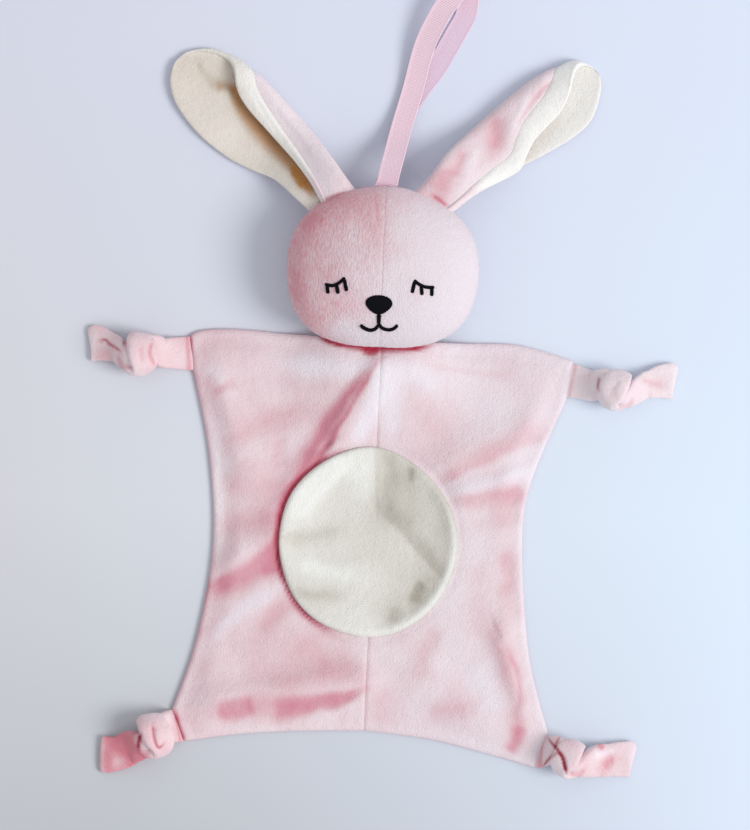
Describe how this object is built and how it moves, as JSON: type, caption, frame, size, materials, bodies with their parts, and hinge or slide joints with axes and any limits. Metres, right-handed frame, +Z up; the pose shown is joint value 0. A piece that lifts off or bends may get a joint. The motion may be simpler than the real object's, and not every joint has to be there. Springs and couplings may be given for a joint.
{
  "type": "comfort blanket lovey",
  "caption": "Baby's comfort blanket with a stuffed bunny head, folded ears, a round belly patch, knotted corner limbs and a ribbon hanging loop, lying face up.",
  "frame": {"origin": "on the underside of the blanket's back panel, below the middle of the belly, where the toy lies on a surface", "axes": "+Z up, out of the face and belly; +Y along the centre seam, from the hem to the head; +X to the viewer's right"},
  "size_m": [0.3554, 0.4859, 0.0542],
  "materials": {
    "pink_plush": "short soft pile, matt",
    "cream_plush": "short soft pile, matt",
    "navy_thread": "satin-stitched embroidery thread",
    "pink_ribbon": "fine cross ribs, soft sheen",
    "white_fibre": "loose fibre"
  },
  "bodies": {
    "blanket": {"body_back": "pink_plush", "body_front_left": "pink_plush", "body_front_right": "pink_plush", "belly_patch": "cream_plush"},
    "head": {"head_front_left": "pink_plush", "head_front_right": "pink_plush", "head_back": "pink_plush", "head_stuffing": "white_fibre", "left_eye": "navy_thread", "right_eye": "navy_thread", "nose": "navy_thread", "mouth": "navy_thread"},
    "left_ear": {"left_ear_outer": "pink_plush", "left_ear_lining": "cream_plush"},
    "right_ear": {"right_ear_outer": "pink_plush", "right_ear_lining": "cream_plush"},
    "ribbon": {"ribbon_loop": "pink_ribbon"},
    "left_arm": {"left_arm": "pink_plush"},
    "right_arm": {"right_arm": "pink_plush"},
    "left_leg": {"left_leg": "pink_plush"},
    "right_leg": {"right_leg": "pink_plush"}
  },
  "joints": [
    {"name": "neck_nod", "type": "hinge", "parent": "blanket", "child": "head", "pos_m": [-0.0014, 0.12273, 0.01267], "axis": [1, 0, 0], "range_deg": [-60, 25]},
    {"name": "left_ear_fold", "type": "hinge", "parent": "head", "child": "left_ear", "pos_m": [-0.03575, 0.2066, 0.02803], "axis": [0.7132, 0.7009, 0], "range_deg": [0, 90]},
    {"name": "right_ear_fold", "type": "hinge", "parent": "head", "child": "right_ear", "pos_m": [0.03244, 0.21151, 0.02803], "axis": [0.6508, -0.7593, 0], "range_deg": [0, 90]},
    {"name": "ribbon_swing", "type": "hinge", "parent": "head", "child": "ribbon", "pos_m": [-0.0014, 0.21703, 0.024], "axis": [1, 0, 0], "range_deg": [-75, 75]},
    {"name": "left_arm_fold", "type": "hinge", "parent": "blanket", "child": "left_arm", "pos_m": [-0.11573, 0.10989, 0.00155], "axis": [-0.1632, 0.9866, 0], "range_deg": [-90, 90]},
    {"name": "right_arm_fold", "type": "hinge", "parent": "blanket", "child": "right_arm", "pos_m": [0.11528, 0.10372, 0.00155], "axis": [-0.132, -0.9913, 0], "range_deg": [-90, 90]},
    {"name": "left_leg_fold", "type": "hinge", "parent": "blanket", "child": "left_leg", "pos_m": [-0.11356, -0.11385, 0.00155], "axis": [-0.3711, 0.9286, 0], "range_deg": [-90, 80]},
    {"name": "right_leg_fold", "type": "hinge", "parent": "blanket", "child": "right_leg", "pos_m": [0.10815, -0.11885, 0.00155], "axis": [-0.3386, -0.9409, 0], "range_deg": [-90, 80]}
  ]
}
